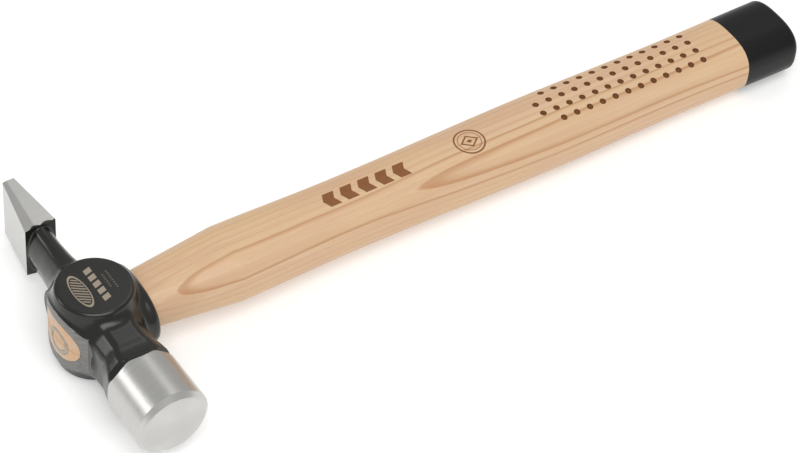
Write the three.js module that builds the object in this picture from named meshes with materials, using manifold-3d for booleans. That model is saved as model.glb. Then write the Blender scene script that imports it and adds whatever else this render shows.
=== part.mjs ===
// Cross-pein bench hammer with a one-piece steel head on an ash handle, in millimetres.
// +X runs along the handle to its butt, +Y along the head to the pein, and +Z up through the cheeks.
// The hammer lies on its side, and the origin is the middle of the lower cheek's flat face.
import * as THREE from "three";
import { mergeVertices } from "three/addons/utils/BufferGeometryUtils.js";
import Module from "manifold-3d";

// Driving dimensions of the head
const CHEEK_RADIUS = 14.4;
const CHEEK_HALF_HEIGHT = 17.4; // from the middle of the eye to either cheek's flat face
const CHEEK_BEVEL = 0.8;
const SKIRT_RADIUS = 16.9; // where the sloping wall under a cheek meets the eye section
const SKIRT_TOP = 15.6;
const SKIRT_FOOT = 8;
const EYE_HALF_WIDTH = 17.3; // the oval eye section, along the head
const EYE_HALF_HEIGHT = 12;
const EYE_POWER = 2.2; // of its superellipse, where 2 is an ellipse and more is squarer
const EYE_FRONT = 18; // the flat end where the handle goes in
const EYE_BACK = -15.8; // the ground end where the wedges show
const EYE_BACK_RADIUS = 24.5; // the ground end is convex, seen from above
const EYE_EDGE = 1.2; // bevel round the front end

// Stations of the octagonal necks: how far their upright and level flats stand from the head's axis, and
// how much of a full side each of those flats fills, where the slanted flats take the rest
const EVEN_FLAT = 0.414;
const POLL_NECK = [
  { at: -34, halfHeight: 12.9, halfWidth: 12.9, level: EVEN_FLAT, upright: EVEN_FLAT },
  { at: -33, halfHeight: 12.8, halfWidth: 12.8, level: EVEN_FLAT, upright: EVEN_FLAT },
  { at: -31, halfHeight: 12.5, halfWidth: 12.15, level: 0.58, upright: 0.59 },
  { at: -28, halfHeight: 12.4, halfWidth: 11.4, level: 0.6, upright: 0.63 },
  { at: -24, halfHeight: 12.8, halfWidth: 10.5, level: 0.55, upright: 0.63 },
  { at: 0, halfHeight: 13.4, halfWidth: 10.6, level: 0.55, upright: 0.645 },
];
const PEIN_NECK = [
  { at: 0, halfHeight: 13, halfWidth: 10.5, level: EVEN_FLAT, upright: EVEN_FLAT },
  { at: 13, halfHeight: 12.6, halfWidth: 10, level: EVEN_FLAT, upright: EVEN_FLAT },
  { at: 19, halfHeight: 11.4, halfWidth: 7.4, level: EVEN_FLAT, upright: EVEN_FLAT },
  { at: 27, halfHeight: 10.8, halfWidth: 6, level: EVEN_FLAT, upright: EVEN_FLAT },
  { at: 34, halfHeight: 10.8, halfWidth: 5.6, level: EVEN_FLAT, upright: EVEN_FLAT },
  { at: 41.2, halfHeight: 11.4, halfWidth: 5.8, level: EVEN_FLAT, upright: EVEN_FLAT },
];

const POLL_RADIUS = 14.2;
const POLL_BACK_RADIUS = 13.9;
const POLL_BACK = -33;
const POLL_CHAMFER_START = -55;
const POLL_FACE = -56.8;
const FACE_RADIUS = 12.1;

const PEIN_BASE = 40.2;
const PEIN_TIP = 65;
const PEIN_BASE_HALF_WIDTH = 6.2;
const PEIN_BASE_HALF_HEIGHT = 12;
const PEIN_TIP_HALF_WIDTH = 2.35;
const PEIN_TIP_HALF_HEIGHT = 13.5;
const PEIN_TIP_EDGE = 0.5;

// Stations of the eye hole, which is narrowest inside so that the wedged tenon can't pull out
const HOLE_BACK = { at: -17, halfWidth: 12.3, halfHeight: 8.7 };
const HOLE_WAIST = { at: 3, halfWidth: 11.2, halfHeight: 8 };
const HOLE_FRONT = { at: 19, halfWidth: 12, halfHeight: 9.7 };
const HOLE_POWER = 2.2;
const FIT_GAP = 0.3; // between touching pieces
const OVERRUN = 1; // how far a cut piece or cutting tool runs past the surface that trims it

// Driving dimensions of the handle: half width along the head, half thickness through the cheeks
const HANDLE_POWER = 2.7;
const NECK_POWER = 2.3;
const NECK_START = { at: 18, halfWidth: 11.6, halfHeight: 9.3 };
const SHOULDER = { at: 54, halfWidth: 14.5, halfHeight: 12.3 };
const GRIP = [
  SHOULDER,
  { at: 103, halfWidth: 13.5, halfHeight: 12.2 },
  { at: 195, halfWidth: 15.1, halfHeight: 12.3 },
  { at: 255, halfWidth: 14.7, halfHeight: 11.8 },
  { at: 311, halfWidth: 15.6, halfHeight: 11.5 },
];
const BUTT = 311;
const BUTT_EDGE = 2.6; // radius round the butt's end
const BUTT_EDGE_STEPS = 5;
const GRIP_STEP = 10;

// Wedges
const KERF_DEPTH = 24;
const KERF_HALF_WIDTH = 20; // wider than the tenon, so that it cuts right across
const WEDGE_DEPTH = 22;
const WEDGE_THICK_END = 2.6;
const WEDGE_THIN_END = 0.8;
const RING_CENTRE = { y: -1.6, z: -1.2 }; // driven in a little off the eye's centre
const RING_OUTER_RADIUS = 5.6;
const RING_WALL = 1.7;
const RING_DEPTH = 9;
const RING_TAPER = 0.4; // how much the ring's outside narrows to its driven edge

const RING_POINTS = 48;
const ROUND_SEGMENTS = 64;

const Z_AXIS = new THREE.Vector3(0, 0, 1);
const Y_AXIS = new THREE.Vector3(0, 1, 0);
const X_AXIS = new THREE.Vector3(1, 0, 0);
// A loft is made along its own +Z. These turn it along the handle, with its outline across and up,
// or along the head, with its outline up and across.
const ALONG_HANDLE = new THREE.Matrix4().makeBasis(Y_AXIS, Z_AXIS, X_AXIS);
const ALONG_HEAD = new THREE.Matrix4().makeBasis(Z_AXIS, X_AXIS, Y_AXIS);

const wasm = await Module();
wasm.setup();

function solidFrom(geometry) {
  const bare = geometry.clone();
  bare.deleteAttribute("normal");
  bare.deleteAttribute("uv");
  const merged = mergeVertices(bare, 1e-4);
  return new wasm.Manifold(
    new wasm.Mesh({
      numProp: 3,
      vertProperties: new Float32Array(merged.attributes.position.array),
      triVerts: new Uint32Array(merged.index.array),
    }),
  );
}

function geometryFrom(solid) {
  const mesh = solid.getMesh();
  const geometry = new THREE.BufferGeometry();
  geometry.setAttribute(
    "position",
    new THREE.BufferAttribute(new Float32Array(mesh.vertProperties), mesh.numProp),
  );
  geometry.setIndex(new THREE.BufferAttribute(new Uint32Array(mesh.triVerts), 1));
  geometry.computeVertexNormals();
  return geometry;
}

// A closed skin through outlines of equal length, stacked along +Z and closed by a fan at each end.
function loft(stations) {
  const count = stations[0].outline.length;
  const positions = [];
  const index = [];
  for (const { at, outline } of stations) {
    for (const point of outline) positions.push(point.x, point.y, at);
  }
  for (let ring = 0; ring < stations.length - 1; ring += 1) {
    for (let k = 0; k < count; k += 1) {
      const a = ring * count + k;
      const b = ring * count + ((k + 1) % count);
      index.push(a, b, b + count, a, b + count, a + count);
    }
  }
  const last = (stations.length - 1) * count;
  for (let k = 1; k < count - 1; k += 1) {
    index.push(0, k + 1, k);
    index.push(last, last + k, last + k + 1);
  }
  const geometry = new THREE.BufferGeometry();
  geometry.setAttribute("position", new THREE.Float32BufferAttribute(positions, 3));
  geometry.setIndex(index);
  return geometry;
}

function superellipse(halfX, halfY, power) {
  const outline = [];
  for (let k = 0; k < RING_POINTS; k += 1) {
    const angle = (2 * Math.PI * k) / RING_POINTS;
    const across = Math.cos(angle);
    const up = Math.sin(angle);
    outline.push(
      new THREE.Vector2(
        halfX * Math.sign(across) * Math.abs(across) ** (2 / power),
        halfY * Math.sign(up) * Math.abs(up) ** (2 / power),
      ),
    );
  }
  return outline;
}

// An octagon given by how far its flats stand from the middle and how much of a full side they fill.
function octagon(halfX, halfY, fillX, fillY) {
  const corners = [
    [1, fillX],
    [fillY, 1],
    [-fillY, 1],
    [-1, fillX],
    [-1, -fillX],
    [-fillY, -1],
    [fillY, -1],
    [1, -fillX],
  ];
  return corners.map(([x, y]) => new THREE.Vector2(halfX * x, halfY * y));
}

function rectangle(halfX, halfY) {
  return [
    new THREE.Vector2(halfX, -halfY),
    new THREE.Vector2(halfX, halfY),
    new THREE.Vector2(-halfX, halfY),
    new THREE.Vector2(-halfX, -halfY),
  ];
}

function lathe(profile) {
  return new THREE.LatheGeometry(
    profile.map(([radius, along]) => new THREE.Vector2(radius, along)),
    ROUND_SEGMENTS,
  );
}

function ovalStation({ at, halfWidth, halfHeight }, power, inset = 0) {
  return { at, outline: superellipse(halfWidth - inset, halfHeight - inset, power) };
}

// The oval barrel round the handle hole, with a small bevel at the end where the handle goes in.
function eyeBarrel() {
  const wide = superellipse(EYE_HALF_WIDTH, EYE_HALF_HEIGHT, EYE_POWER);
  const narrow = superellipse(EYE_HALF_WIDTH - EYE_EDGE, EYE_HALF_HEIGHT - EYE_EDGE, EYE_POWER);
  return loft([
    { at: EYE_BACK - OVERRUN, outline: wide },
    { at: EYE_FRONT - EYE_EDGE, outline: wide },
    { at: EYE_FRONT, outline: narrow },
  ]).applyMatrix4(ALONG_HANDLE);
}

// Both round cheeks and the sloping walls under them, turned about Z.
function cheeks() {
  const half = [
    [SKIRT_RADIUS, SKIRT_FOOT],
    [CHEEK_RADIUS, SKIRT_TOP],
    [CHEEK_RADIUS, CHEEK_HALF_HEIGHT - CHEEK_BEVEL],
    [CHEEK_RADIUS - CHEEK_BEVEL, CHEEK_HALF_HEIGHT],
    [0, CHEEK_HALF_HEIGHT],
  ];
  const lower = half.map(([radius, along]) => [radius, -along]).reverse();
  return lathe([...lower, ...half]).rotateX(Math.PI / 2);
}

// The upright cylinder that the ground end of the eye is part of.
function grindingCylinder() {
  const height = 3 * CHEEK_HALF_HEIGHT;
  return new THREE.CylinderGeometry(EYE_BACK_RADIUS, EYE_BACK_RADIUS, height, 2 * ROUND_SEGMENTS)
    .rotateX(Math.PI / 2)
    .translate(EYE_BACK + EYE_BACK_RADIUS, 0, 0);
}

function octagonalNeck(stations) {
  return loft(
    stations.map(({ at, halfHeight, halfWidth, level, upright }) => ({
      at,
      outline: octagon(halfHeight, halfWidth, level, upright),
    })),
  ).applyMatrix4(ALONG_HEAD);
}

// The round poll: a slight taper to the back, and a chamfer round the striking face.
function poll() {
  return lathe([
    [0, POLL_FACE],
    [FACE_RADIUS, POLL_FACE],
    [POLL_RADIUS, POLL_CHAMFER_START],
    [POLL_BACK_RADIUS, POLL_BACK],
    [0, POLL_BACK],
  ]);
}

// The wedge-shaped cross pein, which thins to its edge and spreads a little in height.
function pein() {
  return loft([
    { at: PEIN_BASE, outline: rectangle(PEIN_BASE_HALF_HEIGHT, PEIN_BASE_HALF_WIDTH) },
    { at: PEIN_TIP - PEIN_TIP_EDGE, outline: rectangle(PEIN_TIP_HALF_HEIGHT, PEIN_TIP_HALF_WIDTH) },
    {
      at: PEIN_TIP,
      outline: rectangle(PEIN_TIP_HALF_HEIGHT - PEIN_TIP_EDGE, PEIN_TIP_HALF_WIDTH - PEIN_TIP_EDGE),
    },
  ]).applyMatrix4(ALONG_HEAD);
}

function eyeHole() {
  return loft(
    [HOLE_BACK, HOLE_WAIST, HOLE_FRONT].map((station) => ovalStation(station, HOLE_POWER)),
  ).applyMatrix4(ALONG_HANDLE);
}

function headSolid() {
  const eye = solidFrom(eyeBarrel()).add(solidFrom(cheeks())).intersect(solidFrom(grindingCylinder()));
  return [octagonalNeck(POLL_NECK), octagonalNeck(PEIN_NECK), poll(), pein()]
    .reduce((head, piece) => head.add(solidFrom(piece)), eye)
    .subtract(solidFrom(eyeHole()));
}

// Half width and half thickness of the grip at one place, eased from one named station to the next.
function gripAt(x) {
  const next = GRIP.find((station) => station.at >= x && station !== GRIP[0]);
  const previous = GRIP[GRIP.indexOf(next) - 1];
  const share = THREE.MathUtils.smoothstep(x, previous.at, next.at);
  return {
    at: x,
    halfWidth: THREE.MathUtils.lerp(previous.halfWidth, next.halfWidth, share),
    halfHeight: THREE.MathUtils.lerp(previous.halfHeight, next.halfHeight, share),
  };
}

function buttStations() {
  const stations = [];
  for (let k = 0; k <= BUTT_EDGE_STEPS; k += 1) {
    const angle = (Math.PI / 2) * (k / BUTT_EDGE_STEPS);
    const x = BUTT - BUTT_EDGE * (1 - Math.sin(angle));
    const inset = BUTT_EDGE * (1 - Math.cos(angle));
    stations.push(ovalStation(gripAt(x), HANDLE_POWER, inset));
  }
  return stations;
}

// The tenon fills the eye, the neck tapers out to the shoulder, and the grip swells to the butt.
function handleBlank() {
  const tenon = [HOLE_BACK, HOLE_WAIST].map((station) => ovalStation(station, HOLE_POWER, FIT_GAP));
  const grip = [];
  for (let x = SHOULDER.at; x < BUTT - BUTT_EDGE; x += GRIP_STEP) {
    grip.push(ovalStation(gripAt(x), HANDLE_POWER));
  }
  const neck = ovalStation(NECK_START, NECK_POWER);
  return loft([...tenon, neck, ...grip, ...buttStations()]).applyMatrix4(ALONG_HANDLE);
}

// A slab that thins towards the butt, used for the wooden wedge and, larger, for its kerf.
function taperedSlab(depth, thickEnd, thinEnd) {
  return loft([
    { at: EYE_BACK - OVERRUN, outline: rectangle(KERF_HALF_WIDTH, thickEnd / 2) },
    { at: EYE_BACK + depth, outline: rectangle(KERF_HALF_WIDTH, thinEnd / 2) },
  ]).applyMatrix4(ALONG_HANDLE);
}

function kerf() {
  return taperedSlab(KERF_DEPTH, WEDGE_THICK_END + 2 * FIT_GAP, WEDGE_THIN_END + 2 * FIT_GAP);
}

// A tube along the handle, from the ground end to a depth inside it, that can thin to its driven edge.
function ringTube(outer, inner, depth, taper) {
  const start = EYE_BACK - OVERRUN;
  const end = EYE_BACK + depth;
  return lathe([
    [inner, start],
    [outer, start],
    [outer - taper, end],
    [inner + taper, end],
    [inner, start],
  ])
    .rotateZ(-Math.PI / 2)
    .translate(0, RING_CENTRE.y, RING_CENTRE.z);
}

function ringGroove() {
  return ringTube(
    RING_OUTER_RADIUS + FIT_GAP,
    RING_OUTER_RADIUS - RING_WALL - FIT_GAP,
    RING_DEPTH + FIT_GAP,
    0,
  );
}

function handleSolid() {
  return solidFrom(handleBlank())
    .intersect(solidFrom(handleEnvelope()))
    .subtract(solidFrom(kerf()))
    .subtract(solidFrom(ringGroove()));
}

// All that lies on the butt side of the ground end's curve: the grinding cylinder and a box along the handle.
function handleEnvelope() {
  const length = BUTT + OVERRUN;
  const width = 2 * EYE_BACK_RADIUS;
  const box = new THREE.BoxGeometry(length, width, width).translate(length / 2, 0, 0);
  return geometryFrom(solidFrom(grindingCylinder()).add(solidFrom(box)));
}

function woodenWedgeSolid() {
  const slab = taperedSlab(WEDGE_DEPTH, WEDGE_THICK_END, WEDGE_THIN_END);
  const tenonCore = loft(
    [HOLE_BACK, HOLE_WAIST, HOLE_FRONT].map((station) => ovalStation(station, HOLE_POWER, FIT_GAP)),
  ).applyMatrix4(ALONG_HANDLE);
  return solidFrom(slab)
    .intersect(solidFrom(tenonCore))
    .intersect(solidFrom(grindingCylinder()))
    .subtract(solidFrom(ringGroove()));
}

function ringWedgeSolid() {
  const ring = ringTube(RING_OUTER_RADIUS, RING_OUTER_RADIUS - RING_WALL, RING_DEPTH, RING_TAPER);
  return solidFrom(ring).intersect(solidFrom(grindingCylinder()));
}

function piece(name, solid, color, roughness, metalness) {
  const material = new THREE.MeshStandardMaterial({ color, roughness, metalness });
  const mesh = new THREE.Mesh(geometryFrom(solid), material);
  mesh.name = name;
  return mesh;
}

const group = new THREE.Group();
group.position.z = CHEEK_HALF_HEIGHT;
group.add(piece("hammer_head", headSolid(), 0x2c2e2c, 0.35, 0.6));
group.add(piece("handle", handleSolid(), 0xdcb68c, 0.55, 0));
group.add(piece("wooden_wedge", woodenWedgeSolid(), 0xc79b6a, 0.7, 0));
group.add(piece("ring_wedge", ringWedgeSolid(), 0x9c9a97, 0.4, 1));

export default group;
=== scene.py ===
import math

import bmesh
import bpy
import numpy as np
from mathutils import Matrix, Vector


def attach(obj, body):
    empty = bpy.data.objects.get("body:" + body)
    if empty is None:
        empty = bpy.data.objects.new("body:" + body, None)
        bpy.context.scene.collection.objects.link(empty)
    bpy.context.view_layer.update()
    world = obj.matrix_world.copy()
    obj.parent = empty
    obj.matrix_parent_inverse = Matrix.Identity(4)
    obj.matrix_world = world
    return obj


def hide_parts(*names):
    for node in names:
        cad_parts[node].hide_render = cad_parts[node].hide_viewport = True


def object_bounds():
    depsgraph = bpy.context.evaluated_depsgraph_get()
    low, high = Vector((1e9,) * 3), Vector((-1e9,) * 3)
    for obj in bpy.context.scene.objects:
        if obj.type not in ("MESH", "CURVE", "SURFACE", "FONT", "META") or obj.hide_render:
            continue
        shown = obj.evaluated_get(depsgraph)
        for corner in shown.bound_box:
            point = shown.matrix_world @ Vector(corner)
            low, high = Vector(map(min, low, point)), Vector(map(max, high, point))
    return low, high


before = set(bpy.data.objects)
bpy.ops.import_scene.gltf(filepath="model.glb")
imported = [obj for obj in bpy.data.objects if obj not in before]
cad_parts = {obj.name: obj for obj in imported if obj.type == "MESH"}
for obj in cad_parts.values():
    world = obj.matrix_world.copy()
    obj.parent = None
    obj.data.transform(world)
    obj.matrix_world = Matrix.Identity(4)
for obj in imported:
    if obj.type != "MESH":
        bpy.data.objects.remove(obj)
cad_low, cad_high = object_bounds()

# The shapes are in millimetres about the middle of the eye, with X along the handle, Y along the head
# and Z through the cheeks. Pieces are raised to the row frame and scaled to metres when they are made.
MM = 0.001
EYE_Z = (cad_low.z + cad_high.z) / 2 / MM

# Head
CHEEK_RADIUS = 14.4
CHEEK_HALF_HEIGHT = 17.4
CHEEK_BEVEL = 0.8
CHEEK_BEVEL_ROUND = 0.3
SKIRT = ((16.9, 8.0), (14.4, 15.6))  # radius and height at the foot and top of the wall under a cheek
SKIRT_ROUND = 0.8
EYE_HALF_WIDTH = 17.3
EYE_HALF_HEIGHT = 12.0
EYE_POWER = 2.2
EYE_FRONT = 18.0
EYE_FRONT_ROUND = 2.6
EYE_BACK = -15.8
EYE_BACK_RADIUS = 24.5
EYE_BACK_REACH = 18.0  # past this distance along the head the ground end gives way to the necks
EYE_BACK_RELEASE = 3.0  # and recedes this much for each millimetre
CHEEK_FILLET = 2.0  # between a cheek and the eye's barrel
NECK_FILLET = 4.0  # between a neck and the eye
NECK_SIDE = -10.95  # the ground end stops short of the necks' sides, which stand at 10.5
NECK = {  # flats' distances from the head's axis at stations along it, and their shares of a full side
    "at": (-34.9, -33.0, -31.0, -28.0, -24.0, 0.0, 13.0, 19.0, 27.0, 34.0, 39.0, 41.4),
    "height": (14.6, 12.85, 12.5, 12.4, 12.8, 13.4, 12.6, 11.4, 10.8, 10.8, 11.1, 11.6),
    "width": (14.6, 12.85, 12.15, 11.4, 10.5, 10.6, 10.0, 7.4, 6.0, 5.6, 5.65, 6.0),
    "level": (0.414, 0.414, 0.58, 0.6, 0.55, 0.55, 0.414, 0.414, 0.414, 0.414, 0.414, 0.414),
    "upright": (0.414, 0.414, 0.59, 0.63, 0.63, 0.645, 0.414, 0.414, 0.414, 0.414, 0.414, 0.414),
}
NECK_END = 41.2
NECK_RIDGE = (1.3, 2.8)  # least and most rounding of the ridges between flats
NECK_RIDGE_START = 10.0  # where the rounding starts to grow towards the pein
NECK_RIDGE_GROWTH = 0.07
NECK_TURNED_END = -31.0  # up to here the neck is turned down with the poll
NECK_TURNED_SLOPE = 6.0
POLL_START = -34.3
POLL_OVERLAP = 0.4  # how far the neck runs into the poll
POLL_BACK = -33.0
POLL_BACK_RADIUS = 13.9
POLL_RADIUS = 14.2
POLL_CHAMFER_START = -55.0
POLL_TAPER = (POLL_RADIUS - POLL_BACK_RADIUS) / (POLL_BACK - POLL_CHAMFER_START)
POLL_FACE = -56.8
FACE_RADIUS = 12.1
PEIN_BASE = 40.2
PEIN_TIP = 65.0
PEIN_HALF_WIDTH = (6.2, 2.35)  # at its base and at its tip
PEIN_HALF_HEIGHT = (12.0, 13.5)
PEIN_FACET = math.radians(11)  # slope of the band along the top and bottom's rear edge
PEIN_FACET_START = 0.35  # where the band starts, as a share of the half width
PEIN_FILLET = 0.6
HOLE = ((-17.0, 3.0, 19.0), (12.3, 11.2, 12.0), (8.7, 8.0, 9.7))  # stations, half widths, half heights
HOLE_POWER = 2.2
HOLE_EDGE_ROUND = 0.3

# Handle
HANDLE_POWER = 2.7  # of the grip's superellipse section
NECK_POWER = 2.3  # of the section where the handle leaves the eye
NECK_START = (18.0, 11.6, 9.3)  # station, half width and half height there
GRIP = (  # stations, half widths and half heights
    (54.0, 103.0, 195.0, 255.0, 311.0),
    (14.5, 13.5, 15.1, 14.7, 15.6),
    (12.3, 12.2, 12.3, 11.8, 11.5),
)
SHOULDER = GRIP[0][0]
BUTT = GRIP[0][-1]
BUTT_EDGE = 2.6  # radius round the butt's end
BUTT_STEPS = 9
TENON_END = 16.0
SHAFT_START = 12.0  # inside the eye, so that the shaft and the tenon overlap
DIP_EDGE = 285.6
SHAFT_STEP = 3.0
DIP_STEP = 2.0
RING_COUNT = 96  # points round the shaft
FINE_POINTS = 2000  # points that the even ones are picked from

# Wedges
RING_CENTRE = (-1.6, -1.2)
RING_OUTER = 5.6
RING_WALL = 1.7
RING_DEPTH = 9.0
RING_PROUD = 0.12  # how far the ring stands out of the ground end
RING_ROUND = 0.25
WEDGE_DEPTH = 22.0
WEDGE_HALF_THICK = 1.3
WEDGE_HALF_THIN = 0.4
WEDGE_SUNK = 0.05  # how far the wooden wedge lies below the ground end
WEDGE_ROUND = 0.15
KERF_EXTRA = 1.0  # how much deeper the saw kerf is than the wedge
TENON_ROUND = 0.2
JOINT_GAP = 0.06  # between the wood, the wedges and the eye

# Grip dots: four rows of thirteen, without the two corners nearest the head
DOT_PITCH = 6.13
DOT_ROWS = (-7.37, -2.13, 3.11, 8.35)
DOT_FIRST = 193.7
DOT_COLUMNS = 13
DOT_SIDES = 20
DOT_PROFILE = ((1.36, 0.6), (1.36, 0.02), (1.2, -0.14), (1.04, -0.5), (0.62, -0.75))  # radius and rise

# Burned marks on the handle and pale marks on the upper cheek
CHEVRONS = {"start": 93.6, "pitch": 7.7, "count": 5, "half_height": 3.5, "fill": 0.66, "slant": 0.45}
CHEVRON_Y = -0.85
EMBLEM = (160.3, -0.8)
EMBLEM_RADIUS = 6.0
EMBLEM_INNER_RADIUS = 4.6
EMBLEM_LINE = (0.42, 0.26)  # from its middle, where a line starts and where it is full
EMBLEM_INNER_LINE = (0.3, 0.15)
EMBLEM_INNER_STRENGTH = 0.7
LOZENGE_SQUASH = 0.8
LOZENGE_REACH = 2.8
LOZENGE_LINE = (0.5, 0.35)
LOZENGE_CORE = (1.1, 0.9)
MARK_DEPTH = 0.8  # of the burned marks' bumps, as a share of the fibres'
BAR_SIDE_BLUR = 0.03  # as a share of the pitch
ROW_END_BLUR = 0.01  # as a share of the pitch
BAR_END_BLUR = 0.15  # in millimetres
CHEEK_OVAL = (-5.5, 3.0, 8.4)  # middle and half width across the head, and half length along it
OVAL_RIM = 0.93  # share of the oval's size at which its rim runs
OVAL_RIM_LINE = (0.09, 0.04)
HATCH_SLOPE = 0.7
HATCH_PITCH = 1.5
HATCH_LINE = (0.30, 0.22)
HATCH_EDGE = (0.82, 0.76)  # shares of the oval's size over which the hatching ends
HATCH_STRENGTH = 0.85
CHEEK_BARS = {"start": -8.4, "pitch": 3.5, "count": 5, "half_height": 1.55, "fill": 0.72, "slant": 0.3}
CHEEK_BARS_X = 1.3
DASHES = {"pitch": 1.2, "half_height": 0.45, "fill": 0.6, "slant": 0.0}
DASH_STRENGTH = 0.28
DASH_ROWS = ((5.0, -3.4, 6), (7.0, -4.8, 8))  # place across the head, start along it, and count

# Growth rings of the handle's wood, about a pith outside it
PITH_Y = -38.25
PITH_Z = 42.87
PITH_FALL = -0.0081
RING_REFERENCE = 45.24
RING_PITCH = 2.5
RING_PHASE = 0.6
SWEEP = 0.85  # how far the rings swing inwards over one stretch of the handle
SWEEP_STATIONS = (36.0, 62.0, 108.0, 156.0)  # where that starts, is full, starts to ease and ends

# Linear colours: a pair is the two shades that a surface varies between
ASH = ((0.65, 0.435, 0.25), (0.63, 0.405, 0.247))
ASH_STREAK = (0.70, 0.50, 0.32)
LATE_WOOD = (0.50, 0.27, 0.13)
FIBRE = (0.52, 0.31, 0.17)
PORE = (0.40, 0.22, 0.11)
END_GRAIN = ((0.56, 0.42, 0.31), (0.62, 0.36, 0.19))
BURNED_MARK = ((0.17, 0.050, 0.006), (0.26, 0.090, 0.012))
BURNED_PIT = ((0.10, 0.030, 0.004), (0.20, 0.070, 0.012))
BLACK_DIP = ((0.004, 0.004, 0.004), (0.009, 0.0088, 0.0085))
WEDGE_WOOD = ((0.56, 0.34, 0.18), (0.68, 0.46, 0.28))
RING_STEEL = ((0.42, 0.38, 0.34), (0.36, 0.29, 0.23))
LACQUER = ((0.005, 0.005, 0.004), (0.010, 0.0098, 0.0078))
CHEEK_MARK = (0.30, 0.25, 0.185)
POLISHED_STEEL = ((0.52, 0.515, 0.50), (0.60, 0.595, 0.575))
GROUND_STEEL = ((0.14, 0.138, 0.136), (0.28, 0.275, 0.265))
PALE_FLOOR = ((0.79, 0.79, 0.785), (0.81, 0.81, 0.805))

# Meshing
TINY = 1e-6  # keeps a slope finite in the middle of an oval
HEAD_STEP = 0.42
TENON_STEP = 0.4
WEDGE_STEP = 0.25
RING_STEP = 0.2
SLOPE_REACH = 0.02  # half the step that a field's slope is measured over
PULL = 0.04  # how strongly a vertex keeps to the middle of its cell's crossings
CELL_MARGIN = 0.1  # how far a vertex may leave its cell, as a share of a step
ROOT_STEPS = 3  # steps towards the place where the field is zero
ROOT_MARGIN = 0.02  # least share of an interval that one step takes off
WELD = 1e-4  # distance below which two places are one
CREASE_ANGLE = 33  # degrees above which an edge is hard
SHAFT_CREASE_ANGLE = 30

# Camera, in degrees, millimetres and pixels
AZIMUTH, ELEVATION, ROLL = -36.918, 45.756, 5.148
AIM = (119.854, -15.712, 0.0)
DISTANCE = 1044.95
FOCAL_PIXELS, FRAME_WIDTH, SENSOR = 2813.044, 799, 36.0
CLIP = (0.05, 50)  # metres

# Floor and lights, in metres
FLOOR_HALF = 4.0
FLOOR_GAP = 0.00005
REST_ANGLE = 1.13  # degrees between the floor and the cheeks' plane: the hammer rests on a cheek and its butt
WHITE = (1.0, 1.0, 0.995, 1)
WORLD_STRENGTH = 0.55
FLOOR_GLOW = 0.3
LIT = Vector((0.10, 0.0, 0.0174))  # the point that the lights face
SOFTBOXES = (  # name, direction, distance, width, height and radiance
    ("left_strip", (-0.74, 0.53, 0.43), 1.7, 0.5, 0.5, 3.2),
    ("overhead", (0.42, 0.38, 0.83), 1.7, 0.8, 0.5, 1.25),
    ("front_key", (-0.15, -0.42, 0.93), 2.0, 1.7, 1.4, 3.15),
)


# ---------------------------------------------------------------- distance fields

def smooth_max(a, b, k):
    """The larger of two fields, with the edge where they meet rounded over about k."""
    mix = np.clip(0.5 + 0.5 * (a - b) / k, 0, 1)
    return b + (a - b) * mix + k * mix * (1 - mix)


def smooth_min(a, b, k):
    """The smaller of two fields, with the corner where they meet filled over about k."""
    return -smooth_max(-a, -b, k)


def eased(x, stations, values):
    """Values at stations joined by a smooth curve with no overshoot."""
    s, v = np.array(stations), np.array(values)
    chord = np.diff(v) / np.diff(s)
    slope = np.zeros(len(s))
    same = chord[:-1] * chord[1:] > 0
    slope[1:-1][same] = 2 * chord[:-1][same] * chord[1:][same] / (chord[:-1] + chord[1:])[same]
    slope[0], slope[-1] = chord[0], chord[-1]
    x = np.clip(x, s[0], s[-1])
    i = np.clip(np.searchsorted(s, x, side="right") - 1, 0, len(s) - 2)
    h = s[i + 1] - s[i]
    t = (x - s[i]) / h
    return (
        v[i] * (1 + 2 * t) * (1 - t) ** 2
        + v[i + 1] * t * t * (3 - 2 * t)
        + h * slope[i] * t * (1 - t) ** 2
        - h * slope[i + 1] * t * t * (1 - t)
    )


def oval(u, v, a, b, power):
    """Distance outside the superellipse with half axes a and b, about."""
    u, v = np.abs(u) + TINY, np.abs(v) + TINY
    size = ((u / a) ** power + (v / b) ** power) ** (1 / power)
    slope = size ** (1 - power) * np.hypot((u / a) ** (power - 1) / a, (v / b) ** (power - 1) / b)
    return (size - 1) / slope


def ground_end(x, y):
    """Distance behind the convex ground end of the eye."""
    reach = np.sqrt(np.maximum(EYE_BACK_RADIUS**2 - y * y, 1))
    edge = np.minimum(EYE_BACK + EYE_BACK_RADIUS - reach, NECK_SIDE)
    return edge - EYE_BACK_RELEASE * np.maximum(np.abs(y) - EYE_BACK_REACH, 0) - x


def neck_field(x, y, z):
    """Distance outside the octagonal bar that both necks are part of."""
    up, across = eased(y, NECK["at"], NECK["height"]), eased(y, NECK["at"], NECK["width"])
    level, upright = eased(y, NECK["at"], NECK["level"]), eased(y, NECK["at"], NECK["upright"])
    drop, run = up * (1 - upright), across * (1 - level)
    slanted = ((np.abs(z) - up) * run + (np.abs(x) - across * level) * drop) / np.hypot(drop, run)
    soft = np.clip(NECK_RIDGE[0] + (y - NECK_RIDGE_START) * NECK_RIDGE_GROWTH, *NECK_RIDGE)
    return smooth_max(smooth_max(np.abs(z) - up, np.abs(x) - across, soft), slanted, soft)


def poll_radius(y):
    return POLL_BACK_RADIUS + POLL_TAPER * (POLL_BACK - y)


def poll_field(x, y, z):
    radius = np.hypot(x, z)
    run, drop = POLL_RADIUS - FACE_RADIUS, POLL_CHAMFER_START - POLL_FACE
    chamfer = ((radius - POLL_RADIUS) * drop + (POLL_CHAMFER_START - y) * run) / math.hypot(run, drop)
    side = np.maximum(radius - poll_radius(y), chamfer)
    return np.maximum(np.maximum(side, POLL_FACE - y), y - POLL_START)


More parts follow.
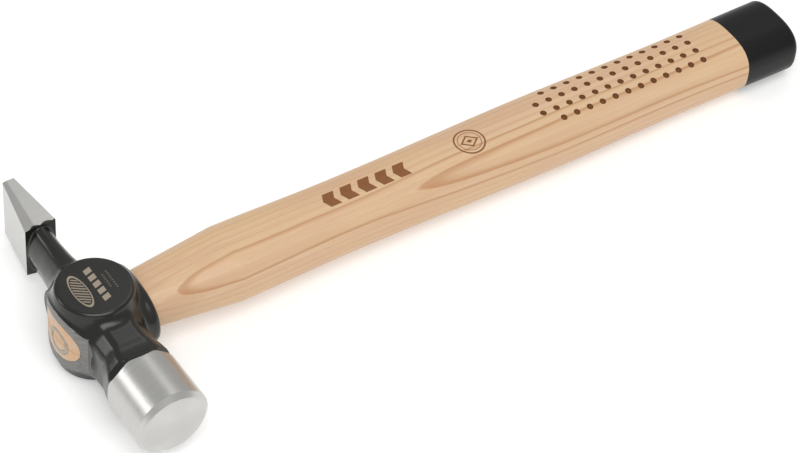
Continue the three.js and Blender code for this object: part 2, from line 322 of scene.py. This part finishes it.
def pein_field(x, y, z):
    share = (y - PEIN_BASE) / (PEIN_TIP - PEIN_BASE)
    wide = PEIN_HALF_WIDTH[0] + (PEIN_HALF_WIDTH[1] - PEIN_HALF_WIDTH[0]) * share
    tall = PEIN_HALF_HEIGHT[0] + (PEIN_HALF_HEIGHT[1] - PEIN_HALF_HEIGHT[0]) * share
    facet = (np.abs(z) - tall) * math.cos(PEIN_FACET) - (x + wide * PEIN_FACET_START) * math.sin(PEIN_FACET)
    sides = np.maximum(np.maximum(np.abs(x) - wide, np.abs(z) - tall), facet)
    return np.maximum(np.maximum(sides, y - PEIN_TIP), PEIN_BASE - y)


def cheek_field(x, y, z):
    radius, z = np.hypot(x, y), np.abs(z)
    boss = np.maximum(radius - CHEEK_RADIUS, z - CHEEK_HALF_HEIGHT)
    bevel = (radius - CHEEK_RADIUS + z - CHEEK_HALF_HEIGHT + CHEEK_BEVEL) / math.sqrt(2)
    (foot_radius, foot), (top_radius, top) = SKIRT
    fall, rise = foot_radius - top_radius, top - foot
    wall = ((radius - foot_radius) * rise + (z - foot) * fall) / math.hypot(rise, fall)
    skirt = smooth_max(wall, z - top, SKIRT_ROUND)
    return smooth_min(smooth_max(boss, bevel, CHEEK_BEVEL_ROUND), skirt, SKIRT_ROUND)


def hole_field(x, y, z):
    return oval(y, z, np.interp(x, HOLE[0], HOLE[1]), np.interp(x, HOLE[0], HOLE[2]), HOLE_POWER)


def head_field(p):
    x, y, z = p.T
    barrel = oval(y, z, EYE_HALF_WIDTH, EYE_HALF_HEIGHT, EYE_POWER)
    barrel = smooth_max(barrel, x - EYE_FRONT, EYE_FRONT_ROUND)
    eye = smooth_min(barrel, cheek_field(x, y, z), CHEEK_FILLET)
    turned = np.hypot(x, z) - poll_radius(y) - NECK_TURNED_SLOPE * np.maximum(y - NECK_TURNED_END, 0)
    neck = np.maximum(neck_field(x, y, z), turned)
    forging = smooth_min(eye, np.maximum(neck, y - NECK_END), NECK_FILLET)
    forging = np.maximum(np.maximum(forging, POLL_START - POLL_OVERLAP - y), ground_end(x, y))
    steel = smooth_min(np.minimum(forging, poll_field(x, y, z)), pein_field(x, y, z), PEIN_FILLET)
    return smooth_max(steel, -hole_field(x, y, z), HOLE_EDGE_ROUND)


def groove_distance(x, y, z, gap):
    """Distance outside the ring wedge's wall, widened by a gap."""
    radius = np.hypot(y - RING_CENTRE[0], z - RING_CENTRE[1])
    wall = np.abs(radius - RING_OUTER + RING_WALL / 2) - RING_WALL / 2 - gap
    return np.maximum(wall, x - EYE_BACK - RING_DEPTH - gap)


def slab_distance(x, z, gap, depth):
    """Distance outside the tapered slab of the wooden wedge, widened by a gap."""
    share = (x - EYE_BACK) / WEDGE_DEPTH
    half = WEDGE_HALF_THICK + (WEDGE_HALF_THIN - WEDGE_HALF_THICK) * share + gap
    return np.maximum(np.abs(z) - half, x - EYE_BACK - depth)


def ring_field(p):
    x, y, z = p.T
    proud = ground_end(x, y) - RING_PROUD
    return smooth_max(groove_distance(x, y, z, 0), proud, RING_ROUND)


def wooden_wedge_field(p):
    x, y, z = p.T
    inside = np.maximum(hole_field(x, y, z) + JOINT_GAP, slab_distance(x, z, 0, WEDGE_DEPTH))
    cut = smooth_max(inside, ground_end(x, y) + WEDGE_SUNK, WEDGE_ROUND)
    return np.maximum(cut, -groove_distance(x, y, z, JOINT_GAP))


def tenon_field(p):
    x, y, z = p.T
    plug = np.maximum(hole_field(x, y, z) + JOINT_GAP, x - TENON_END)
    plug = smooth_max(plug, ground_end(x, y), TENON_ROUND)
    plug = np.maximum(plug, -slab_distance(x, z, JOINT_GAP, WEDGE_DEPTH + KERF_EXTRA))
    return np.maximum(plug, -groove_distance(x, y, z, JOINT_GAP))


# ---------------------------------------------------------------- meshes from fields

def gradient(field, points):
    steps = np.eye(3) * SLOPE_REACH
    return np.stack([field(points + s) - field(points - s) for s in steps], -1) / (2 * SLOPE_REACH)


def contour(field, low, high, step):
    """Vertices and quads where the field is zero, by dual contouring, which keeps sharp edges."""
    axes = [np.arange(low[k], high[k] + step, step) for k in range(3)]
    shape = tuple(len(a) for a in axes)
    grid = np.stack(np.meshgrid(*axes, indexing="ij"), -1)
    value = np.concatenate([field(plane.reshape(-1, 3)) for plane in grid]).reshape(shape)
    crossings, cells, flips = [], [], []
    for k in range(3):
        a, b = (k + 1) % 3, (k + 2) % 3
        first = tuple(slice(0, -1) if n == k else slice(1, -1) for n in range(3))
        second = tuple(slice(1, None) if n == k else slice(1, -1) for n in range(3))
        hit = np.argwhere((value[first] < 0) != (value[second] < 0))
        hit[:, [a, b]] += 1
        along = np.eye(3, dtype=int)[k]
        v0, v1 = value[tuple(hit.T)], value[tuple((hit + along).T)]
        lo, hi = np.zeros(len(hit)), np.ones(len(hit))
        start = grid[tuple(hit.T)]
        for _ in range(ROOT_STEPS):
            t = lo + (hi - lo) * np.clip(v0 / (v0 - v1), ROOT_MARGIN, 1 - ROOT_MARGIN)
            v = field(start + t[:, None] * step * along)
            left = (v < 0) == (v0 < 0)
            lo, v0 = np.where(left, t, lo), np.where(left, v, v0)
            hi, v1 = np.where(left, hi, t), np.where(left, v1, v)
        crossings.append(start + (lo + (hi - lo) * v0 / (v0 - v1))[:, None] * step * along)
        turns = [np.zeros(3, int) for _ in range(4)]
        turns[1][a] = turns[2][a] = turns[2][b] = turns[3][b] = -1
        cells.append(np.stack([np.ravel_multi_index(tuple((hit + t).T), shape) for t in turns], 1))
        flips.append(value[tuple(hit.T)] > 0)
    points, corner, flip = np.concatenate(crossings), np.concatenate(cells), np.concatenate(flips)
    normal = gradient(field, points)
    normal /= np.linalg.norm(normal, axis=1, keepdims=True)
    used, where = np.unique(corner, return_inverse=True)
    where = where.reshape(corner.shape)
    count = np.bincount(where.ravel(), minlength=len(used))

    def gather(values):
        return np.bincount(where.ravel(), np.repeat(values, 4), len(used))

    middle = np.stack([gather(points[:, n]) for n in range(3)], 1) / count[:, None]
    square = np.stack([gather(normal[:, i] * normal[:, j]) for i in range(3) for j in range(3)], 1)
    square = square.reshape(-1, 3, 3) + PULL * count[:, None, None] * np.eye(3)
    offset = (normal * points).sum(1)
    right = np.stack([gather(normal[:, n] * offset) for n in range(3)], 1)
    right += PULL * count[:, None] * middle
    vertex = np.linalg.solve(square, right[..., None])[..., 0]
    cell_low = np.stack(np.unravel_index(used, shape), 1) * step + np.array(low)
    vertex = np.clip(vertex, cell_low - CELL_MARGIN * step, cell_low + (1 + CELL_MARGIN) * step)
    where[flip] = where[flip][:, ::-1]
    return vertex, where


def mesh_piece(name, vertices, faces, materials=()):
    mesh = bpy.data.meshes.new(name)
    mesh.from_pydata(vertices.tolist(), [], [list(map(int, f)) for f in faces])
    for material in materials:
        mesh.materials.append(material)
    piece = bpy.data.objects.new(name, mesh)
    bpy.context.scene.collection.objects.link(piece)
    return piece


def shade(piece, angle, crease=None):
    """Smooth shading with hard edges above an angle, and where crease says so."""
    made = bmesh.new()
    made.from_mesh(piece.data)
    bmesh.ops.remove_doubles(made, verts=made.verts, dist=WELD)
    bmesh.ops.recalc_face_normals(made, faces=made.faces)
    for face in made.faces:
        face.smooth = True
    for edge in made.edges:
        bent = len(edge.link_faces) == 2 and edge.calc_face_angle(0) > math.radians(angle)
        edge.smooth = not (bent or (crease is not None and crease(edge)))
    made.to_mesh(piece.data)
    made.free()


def place(piece, node):
    """Brings a piece from millimetres about the eye to the row frame and puts it in its node's place."""
    piece.data.transform(Matrix.Scale(MM, 4) @ Matrix.Translation((0, 0, EYE_Z)))
    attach(piece, "root")
    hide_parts(node)


# ---------------------------------------------------------------- handle mesh

def section(x):
    """Half width, half height and superellipse power of the handle at x."""
    if x < SHOULDER:
        t = (x - NECK_START[0]) / (SHOULDER - NECK_START[0])
        wide = NECK_START[1] + (GRIP[1][0] - NECK_START[1]) * t
        tall = NECK_START[2] + (GRIP[2][0] - NECK_START[2]) * t
        return wide, tall, NECK_POWER + (HANDLE_POWER - NECK_POWER) * max(t, 0)
    i = min(np.searchsorted(GRIP[0], x, side="right"), len(GRIP[0]) - 1)
    t = (x - GRIP[0][i - 1]) / (GRIP[0][i] - GRIP[0][i - 1])
    t = t * t * (3 - 2 * t)
    wide = GRIP[1][i - 1] + (GRIP[1][i] - GRIP[1][i - 1]) * t
    tall = GRIP[2][i - 1] + (GRIP[2][i] - GRIP[2][i - 1]) * t
    return wide, tall, HANDLE_POWER


def outline(wide, tall, power):
    """Points of a superellipse, about evenly spaced."""
    fine = np.linspace(0, 2 * math.pi, FINE_POINTS, endpoint=False)
    c, s = np.cos(fine), np.sin(fine)
    y = wide * np.sign(c) * np.abs(c) ** (2 / power)
    z = tall * np.sign(s) * np.abs(s) ** (2 / power)
    run = np.r_[0, np.cumsum(np.hypot(np.diff(y), np.diff(z)))]
    want = np.arange(RING_COUNT) / RING_COUNT * (run[-1] + math.hypot(y[0] - y[-1], z[0] - z[-1]))
    return np.interp(want, run, y), np.interp(want, run, z)


def handle_shaft():
    """The neck and grip, from inside the eye to the rounded butt, capped at both ends."""
    stations = [(x, 0.0) for x in np.arange(SHAFT_START, SHOULDER, SHAFT_STEP)]
    stations += [(x, 0.0) for x in np.arange(SHOULDER, DIP_EDGE, SHAFT_STEP)]
    stations += [(x, 0.0) for x in np.arange(DIP_EDGE, BUTT - BUTT_EDGE, DIP_STEP)]
    for turn in np.linspace(0, math.pi / 2, BUTT_STEPS):
        stations.append((BUTT - BUTT_EDGE * (1 - math.sin(turn)), BUTT_EDGE * (1 - math.cos(turn))))
    vertices = []
    for x, inset in stations:
        wide, tall, power = section(x)
        y, z = outline(wide - inset, tall - inset, power)
        vertices += list(zip([x] * RING_COUNT, y, z))
    faces = []
    for ring in range(len(stations) - 1):
        for k in range(RING_COUNT):
            a, b = ring * RING_COUNT + k, ring * RING_COUNT + (k + 1) % RING_COUNT
            faces.append((a, b, b + RING_COUNT, a + RING_COUNT))
    end = len(vertices) - RING_COUNT
    faces += [tuple(range(RING_COUNT - 1, -1, -1)), tuple(range(end, end + RING_COUNT))]
    return np.array(vertices), faces


def surface_height(x, y):
    """Height of the handle's upper surface over its middle plane."""
    wide, tall, power = section(x)
    return tall * (1 - (abs(y) / wide) ** power) ** (1 / power)


def dot_cutter(x, y, side, base):
    """Vertices and faces of one pit's cutter, square to the upper (1) or lower (-1) surface's slope."""
    height = surface_height(x, y)
    lean = (surface_height(x, y - 1) - surface_height(x, y + 1)) / 2
    vertices, faces = [], []
    for radius, rise in DOT_PROFILE:
        for k in range(DOT_SIDES):
            turn = side * 2 * math.pi * k / DOT_SIDES
            off = radius * math.sin(turn)
            vertices.append((x + radius * math.cos(turn), y + off, side * (height + rise - lean * off)))
    last = base + (len(DOT_PROFILE) - 1) * DOT_SIDES
    for level in range(base, last, DOT_SIDES):
        for k in range(DOT_SIDES):
            a, b = level + k, level + (k + 1) % DOT_SIDES
            faces.append((a, a + DOT_SIDES, b + DOT_SIDES, b))
    faces.append(tuple(range(base, base + DOT_SIDES)))
    faces.append(tuple(range(last + DOT_SIDES - 1, last - 1, -1)))
    return vertices, faces


def dot_cutters(materials):
    """Shallow rounded pits for every grip dot, on the upper and the lower side."""
    vertices, faces = [], []
    for row, y in enumerate(DOT_ROWS):
        for column in range(DOT_COLUMNS):
            if column == 0 and row in (0, len(DOT_ROWS) - 1):
                continue
            for side in (1, -1):
                made = dot_cutter(DOT_FIRST + DOT_PITCH * column, y, side, len(vertices))
                vertices += made[0]
                faces += made[1]
    return mesh_piece("dot_cutters", np.array(vertices), faces, materials)


def combine(piece, other, kind):
    """An exact boolean with another object, which is removed afterwards."""
    step = piece.modifiers.new(kind, "BOOLEAN")
    step.operation, step.solver, step.object = kind, "EXACT", other
    graph = bpy.context.evaluated_depsgraph_get()
    made = bpy.data.meshes.new_from_object(piece.evaluated_get(graph))
    piece.modifiers.remove(step)
    piece.data = made
    bpy.data.objects.remove(other)


def handle_piece(wood, burned, dip):
    materials = (wood, burned, dip)
    shaft = mesh_piece("handle_ash", *handle_shaft(), materials)
    cutters = dot_cutters(materials)
    for face in cutters.data.polygons:
        face.material_index = materials.index(burned)
    combine(shaft, cutters, "DIFFERENCE")
    tenon_mesh = contour(tenon_field, (-17.2, -14.2, -10.6), (17.2, 14.2, 10.6), TENON_STEP)
    combine(shaft, mesh_piece("tenon", *tenon_mesh, (wood,)), "UNION")
    for face in shaft.data.polygons:
        if face.center.x > DIP_EDGE:
            face.material_index = materials.index(dip)
    shade(shaft, SHAFT_CREASE_ANGLE, lambda edge: all(abs(v.co.x - SHOULDER) < WELD for v in edge.verts))
    place(shaft, "handle")


# ---------------------------------------------------------------- node materials

MIX_COLOUR_INPUTS = (6, 7)  # the Mix node has sockets of the same name for numbers, vectors and colours
MIX_COLOUR_OUTPUT = 2


class Num:
    """A number made by shader nodes, so that masks can be written as sums."""

    def __init__(self, tree, socket):
        self.tree, self.socket = tree, socket

    def node(self, kind, *values):
        made = self.tree.nodes.new("ShaderNodeMath")
        made.operation = kind
        for slot, value in enumerate((self, *values)):
            if isinstance(value, Num):
                self.tree.links.new(value.socket, made.inputs[slot])
            else:
                made.inputs[slot].default_value = value
        return Num(self.tree, made.outputs[0])

    def __add__(self, other):
        return self.node("ADD", other)

    def __sub__(self, other):
        return self.node("SUBTRACT", other)

    def __mul__(self, other):
        return self.node("MULTIPLY", other)

    def __truediv__(self, other):
        return self.node("DIVIDE", other)

    def __neg__(self):
        return self * -1

    def size(self):
        return self.node("ABSOLUTE")

    def power(self, exponent):
        return self.node("POWER", exponent)

    def top(self, other):
        return self.node("MAXIMUM", other)

    def fraction(self):
        return self.node("FRACT")

    def hypot(self, other):
        return (self * self + other * other).node("SQRT")

    def rise(self, low, high):
        """0 below low, 1 above high, and smooth between them."""
        made = self.tree.nodes.new("ShaderNodeMapRange")
        made.interpolation_type = "SMOOTHSTEP"
        flip = low > high
        self.tree.links.new(self.socket, made.inputs["Value"])
        made.inputs["From Min"].default_value = min(low, high)
        made.inputs["From Max"].default_value = max(low, high)
        made.inputs["To Min"].default_value = 1.0 if flip else 0.0
        made.inputs["To Max"].default_value = 0.0 if flip else 1.0
        return Num(self.tree, made.outputs["Result"])


class Surface:
    """A Principled material and helpers for the numbers that drive it. Positions are in millimetres."""

    def __init__(self, name):
        self.material = bpy.data.materials.new(name)
        self.material.use_nodes = True
        self.tree = self.material.node_tree
        self.shader = self.tree.nodes["Principled BSDF"]
        where = self.tree.nodes.new("ShaderNodeTexCoord")
        split = self.tree.nodes.new("ShaderNodeSeparateXYZ")
        self.tree.links.new(where.outputs["Object"], split.inputs[0])
        self.x, self.y, self.z = (Num(self.tree, split.outputs[k]) * (1 / MM) for k in range(3))
        self.z = self.z - EYE_Z

    def noise(self, x, y, z, detail=2.0):
        """Noise of a stretched position, from about 0 to 1 round 0.5."""
        where = self.tree.nodes.new("ShaderNodeCombineXYZ")
        for slot, value in enumerate((x, y, z)):
            self.tree.links.new(value.socket, where.inputs[slot])
        made = self.tree.nodes.new("ShaderNodeTexNoise")
        made.inputs["Scale"].default_value = 1.0
        made.inputs["Detail"].default_value = detail
        self.tree.links.new(where.outputs[0], made.inputs["Vector"])
        return Num(self.tree, made.outputs["Fac"])

    def blend(self, share, first, second):
        """A colour between two, each a triple or a colour socket."""
        made = self.tree.nodes.new("ShaderNodeMix")
        made.data_type = "RGBA"
        self.tree.links.new(share.socket, made.inputs["Factor"])
        for slot, colour in zip(MIX_COLOUR_INPUTS, (first, second)):
            if isinstance(colour, tuple):
                made.inputs[slot].default_value = (*colour, 1)
            else:
                self.tree.links.new(colour, made.inputs[slot])
        return made.outputs[MIX_COLOUR_OUTPUT]

    def level(self, share, first, second):
        """A number between two."""
        return share * (second - first) + first

    def drive(self, name, value):
        socket = value.socket if isinstance(value, Num) else value
        self.tree.links.new(socket, self.shader.inputs[name])

    def relief(self, height, millimetres):
        """Fine bumps, this many millimetres high where the height is 1."""
        made = self.tree.nodes.new("ShaderNodeBump")
        made.inputs["Distance"].default_value = millimetres * MM
        made.inputs["Strength"].default_value = 1.0
        self.tree.links.new(height.socket, made.inputs["Height"])
        self.tree.links.new(made.outputs["Normal"], self.shader.inputs["Normal"])


def bars_mask(u, v, start, pitch, count, half_height, fill, slant):
    """A row of bars along u, slanted by v, or of chevrons where v is a size. Fill is a share of the pitch."""
    along = (u + v * -slant - start) / pitch
    bar = (along.fraction() - 0.5).size().rise(fill / 2, fill / 2 - BAR_SIDE_BLUR)
    ends = (along - count / 2).size().rise(count / 2, count / 2 - ROW_END_BLUR)
    return bar * ends * v.size().rise(half_height, half_height - BAR_END_BLUR)


def ash_rings(s):
    """How plainly late wood shows, and where the early wood with its pores is, in rings about the pith."""
    warp = s.noise(s.x * 0.018, s.y * 0.05, s.z * 0.05, 1.0) * 0.5
    shake = s.noise(s.x * 0.05, s.y * 0.25, s.z * 0.25) * 0.4
    from_pith = (s.y - PITH_Y).hypot(s.z - PITH_Z - s.x * PITH_FALL)
    start, full, easing, end = SWEEP_STATIONS
    sweep = s.x.rise(start, full) * s.x.rise(end, easing) * SWEEP
    outward = from_pith + sweep + warp + shake
    ring = ((-outward + (RING_REFERENCE + RING_PHASE)) / RING_PITCH).fraction()
    late = ring.rise(0.42, 0.0).power(1.4).top(ring.rise(0.93, 1.0))
    early = ring.rise(0.5, 0.75) * ring.rise(0.97, 0.9)
    shown = (from_pith - (RING_REFERENCE - 1.6)).size().rise(3.0, 1.9) * 0.6 + 0.25
    strength = s.noise(s.x * 0.01, s.y * 0.16, s.z * 0.16, 1.0).rise(0.3, 0.62) * 0.4 * shown + shown
    return late * strength, early


def ash_colour(s, fibre):
    """Pale ash with warm latewood lines, fine fibres and open pores."""
    late, early = ash_rings(s)
    streak = s.noise(s.x * 0.012, s.y * 0.7, s.z * 0.7)
    tone = s.noise(s.x * 0.02, s.y * 0.1, s.z * 0.1, 1.0)
    pore = s.noise(s.x * 0.35, s.y * 7, s.z * 7, 1.0).rise(0.6, 0.72) * early
    colour = s.blend(tone.rise(0.35, 0.65), *ASH)
    colour = s.blend(streak.rise(0.42, 0.75) * 0.55, colour, ASH_STREAK)
    colour = s.blend(late, colour, LATE_WOOD)
    colour = s.blend(fibre.rise(0.5, 0.8) * 0.22, colour, FIBRE)
    return s.blend(pore * 0.35, colour, PORE)


def handle_marks(s):
    """Generic burned marks on the upper side: a row of chevrons, and a lozenge in a double circle."""
    chevrons = bars_mask(s.x, (s.y - CHEVRON_Y).size(), **CHEVRONS)
    across, along = s.y - EMBLEM[1], s.x - EMBLEM[0]
    disc = along.hypot(across)
    outer = (disc - EMBLEM_RADIUS).size().rise(*EMBLEM_LINE)
    inner = (disc - EMBLEM_INNER_RADIUS).size().rise(*EMBLEM_INNER_LINE) * EMBLEM_INNER_STRENGTH
    reach = along.size() * LOZENGE_SQUASH + across.size()
    lozenge = (reach - LOZENGE_REACH).size().rise(*LOZENGE_LINE)
    core = reach.rise(*LOZENGE_CORE)
    return chevrons.top(outer).top(inner).top(lozenge).top(core) * s.z.rise(0.0, 1.0)


def ash_material():
    s = Surface("ash_wood")
    fibre = s.noise(s.x * 0.05, s.y * 2.4, s.z * 2.4, 3.0)
    patches = s.noise(s.x * 0.3, s.y * 0.35, s.z * 0.35).rise(0.42, 0.62)
    end_grain = s.blend(patches, *END_GRAIN)
    tenon = s.x.rise(-8.0, -10.0) * 0.8
    colour = s.blend(tenon, ash_colour(s, fibre), end_grain)
    char = s.noise(s.x * 0.6, s.y * 2, s.z * 2)
    marks = handle_marks(s)
    colour = s.blend(marks, colour, s.blend(char, *BURNED_MARK))
    s.drive("Base Color", colour)
    s.drive("Roughness", s.level(fibre, 0.34, 0.46))
    s.relief(fibre - marks * MARK_DEPTH, 0.03)
    return s.material


def burned_material():
    s = Surface("burned_wood")
    depth = s.noise(s.x * 1.2, s.y * 1.2, s.z * 1.2)
    s.drive("Base Color", s.blend(depth, *BURNED_PIT))
    s.drive("Roughness", s.level(depth, 0.7, 0.9))
    s.relief(depth, 0.05)
    return s.material


def dip_material():
    s = Surface("black_dip")
    grain = s.noise(s.x * 0.05, s.y * 1.6, s.z * 1.6)
    fleck = s.noise(s.x * 1.5, s.y * 1.5, s.z * 1.5, 3.0)
    s.drive("Base Color", s.blend(fleck, *BLACK_DIP))
    s.shader.inputs["Specular IOR Level"].default_value = 0.22
    s.drive("Roughness", s.level(fleck, 0.28, 0.42))
    s.relief(grain, 0.03)
    return s.material


def wedge_wood_material():
    s = Surface("wedge_wood")
    fibre = s.noise(s.x * 0.2, s.y * 0.5, s.z * 6)
    s.drive("Base Color", s.blend(fibre.rise(0.3, 0.7), *WEDGE_WOOD))
    s.drive("Roughness", s.level(fibre, 0.55, 0.75))
    s.relief(fibre, 0.04)
    return s.material


def bare_steel_material():
    s = Surface("bare_steel")
    scratch = s.noise(s.x * 0.5, s.y * 0.5, s.z * 7)
    rust = s.noise(s.x * 0.4, s.y * 0.4, s.z * 0.4)
    s.drive("Base Color", s.blend(rust.rise(0.35, 0.7), *RING_STEEL))
    s.shader.inputs["Metallic"].default_value = 1.0
    s.drive("Roughness", s.level(scratch, 0.38, 0.55))
    s.relief(scratch, 0.01)
    return s.material


def bright_steel_mask(s):
    """The polished poll, down to its shoulder, and the pein, whose edge runs in waves above and below."""
    shoulder = s.x.hypot(s.z) - (-s.y + POLL_BACK) * POLL_TAPER - POLL_BACK_RADIUS
    start = s.y.rise(POLL_BACK + 0.6, POLL_BACK + 0.4) * shoulder.rise(-0.22, -0.08)
    poll = start.top(s.y.rise(-38, -38.3))
    wave = (s.x * 0.62).node("SINE").size() * s.z.size().rise(11.5, 11.9) * 0.9
    return poll.top((s.y - wave).rise(PEIN_BASE + 0.08, PEIN_BASE + 0.2))


def ground_steel_mask(s):
    """The convex ground end of the eye, between the necks."""
    reach = (-(s.y * s.y) + EYE_BACK_RADIUS**2).top(1).node("SQRT")
    behind = (s.x + reach - (EYE_BACK + EYE_BACK_RADIUS)).rise(0.16, 0.06)
    return behind * s.y.size().rise(15.3, 15.0) * s.x.rise(-9.5, -10.0)


def cheek_marks(s):
    """Generic pale marks on the upper cheek: a hatched oval, a row of bars and two faint rows of dashes."""
    middle, half_width, half_length = CHEEK_OVAL
    reach = ((s.x - middle) / half_width).hypot(s.y / half_length)
    rim = (reach - OVAL_RIM).size().rise(*OVAL_RIM_LINE)
    lines = (((s.y + s.x * HATCH_SLOPE) / HATCH_PITCH).fraction() - 0.5).size().rise(*HATCH_LINE)
    hatch = lines * reach.rise(*HATCH_EDGE) * HATCH_STRENGTH
    marks = rim.top(hatch).top(bars_mask(s.y, s.x - CHEEK_BARS_X, **CHEEK_BARS))
    for place_x, start, count in DASH_ROWS:
        marks = marks.top(bars_mask(s.y, s.x - place_x, start=start, count=count, **DASHES) * DASH_STRENGTH)
    return marks * s.z.rise(CHEEK_HALF_HEIGHT - 0.3, CHEEK_HALF_HEIGHT - 0.1)


def head_material():
    """Black lacquer on the forging, brushed steel on the poll and pein, and ground steel on the eye's end."""
    s = Surface("hammer_steel")
    bright, ground, marks = bright_steel_mask(s), ground_steel_mask(s), cheek_marks(s)
    lap = s.noise(s.x * 0.06, s.y * 9, s.z * 0.06)
    cloud = s.noise(s.x * 0.25, s.y * 0.25, s.z * 0.25, 3.0)
    ground_lines = s.noise(s.x * 0.2, s.y * 0.35, s.z * 6)
    grit = s.noise(s.x * 4, s.y * 4, s.z * 4)
    lacquer = s.blend(cloud, *LACQUER)
    lacquer = s.blend(marks, lacquer, CHEEK_MARK)
    steel = s.blend(lap.rise(0.3, 0.7), *POLISHED_STEEL)
    ground_steel = s.blend(ground_lines.rise(0.3, 0.7), *GROUND_STEEL)
    s.drive("Base Color", s.blend(bright, s.blend(ground, lacquer, ground_steel), steel))
    s.drive("Metallic", bright.top(ground))
    black_rough = s.level(cloud, 0.18, 0.26)
    bright_rough = s.level(lap, 0.30, 0.37)
    rough = bright * (bright_rough - black_rough) + black_rough
    s.drive("Roughness", rough.top(ground * 0.42).top(marks * 0.5))
    s.relief(lap * bright * 0.6 + ground_lines * ground + grit * 0.12, 0.012)
    return s.material


# ---------------------------------------------------------------- the pieces

def field_piece(name, field, low, high, step, material):
    """A piece made from a distance field, sought inside a box that holds it with room to spare."""
    piece = mesh_piece(name, *contour(field, low, high, step), (material,))
    shade(piece, CREASE_ANGLE)
    return piece


head_box = (-17.5, -58.2, -18.8), (19.8, 66.4, 18.8)
head = field_piece("head_steel", head_field, *head_box, HEAD_STEP, head_material())
place(head, "hammer_head")

handle_piece(ash_material(), burned_material(), dip_material())

wedge_box = (-17, -14, -2.4), (7.4, 14, 2.4)
wedge = field_piece("wedge_wooden", wooden_wedge_field, *wedge_box, WEDGE_STEP, wedge_wood_material())
place(wedge, "wooden_wedge")

ring_box = (-17, -8.2, -7.8), (-5.8, 5.0, 5.4)
ring = field_piece("wedge_ring", ring_field, *ring_box, RING_STEP, bare_steel_material())
place(ring, "ring_wedge")


# ---------------------------------------------------------------- stage, lights and camera

def camera():
    data = bpy.data.cameras.new("camera")
    data.sensor_width, data.lens = SENSOR, FOCAL_PIXELS * SENSOR / FRAME_WIDTH
    data.clip_start, data.clip_end = CLIP
    made = bpy.data.objects.new("camera", data)
    bpy.context.scene.collection.objects.link(made)
    a, e, r = (math.radians(v) for v in (AZIMUTH, ELEVATION, ROLL))
    back = Vector((math.sin(a) * math.cos(e), -math.cos(a) * math.cos(e), math.sin(e)))
    right = Vector((math.cos(a), math.sin(a), 0))
    up = back.cross(right)
    across = right * math.cos(r) + up * math.sin(r)
    upward = up * math.cos(r) - right * math.sin(r)
    where = (Vector(AIM) + Vector((0, 0, EYE_Z)) + back * DISTANCE) * MM
    turn = Matrix((across, upward, back)).transposed().to_4x4()
    made.matrix_world = Matrix.Translation(where) @ turn
    bpy.context.scene.camera = made


def floor():
    """A wide pale floor under the cheek's far edge and the butt's lower edge."""
    h = FLOOR_HALF
    mesh = bpy.data.meshes.new("floor")
    mesh.from_pydata([(-h, -h, 0), (h, -h, 0), (h, h, 0), (-h, h, 0)], [], [(0, 1, 2, 3)])
    made = bpy.data.objects.new("floor", mesh)
    bpy.context.scene.collection.objects.link(made)
    pivot = Vector(((CHEEK_RADIUS - CHEEK_BEVEL) * MM, 0, -FLOOR_GAP))
    made.matrix_world = Matrix.Translation(pivot) @ Matrix.Rotation(-math.radians(REST_ANGLE), 4, "Y")
    s = Surface("pale_floor")
    mottle = s.noise(s.x * 0.004, s.y * 0.004, s.z * 0.004)
    s.drive("Base Color", s.blend(mottle, *PALE_FLOOR))
    s.shader.inputs["Emission Color"].default_value = WHITE
    s.shader.inputs["Emission Strength"].default_value = FLOOR_GLOW
    s.shader.inputs["Roughness"].default_value = 0.8
    s.shader.inputs["Specular IOR Level"].default_value = 0.1
    mesh.materials.append(s.material)


def softbox(name, direction, distance, width, height, radiance):
    """A rectangular light of a given brightness, facing the hammer from a direction."""
    data = bpy.data.lights.new(name, "AREA")
    data.shape, data.size, data.size_y = "RECTANGLE", width, height
    data.energy = radiance * math.pi * width * height
    made = bpy.data.objects.new(name, data)
    bpy.context.scene.collection.objects.link(made)
    towards = Vector(direction).normalized()
    turn = towards.to_track_quat("Z", "Y").to_matrix().to_4x4()
    made.matrix_world = Matrix.Translation(LIT + towards * distance) @ turn
    made.visible_camera = False


def studio():
    world = bpy.data.worlds.new("studio")
    world.use_nodes = True
    world.node_tree.nodes["Background"].inputs["Color"].default_value = WHITE
    world.node_tree.nodes["Background"].inputs["Strength"].default_value = WORLD_STRENGTH
    bpy.context.scene.world = world
    for box in SOFTBOXES:
        softbox(*box)


camera()
floor()
studio()
bpy.context.scene.view_settings.view_transform = "Standard"
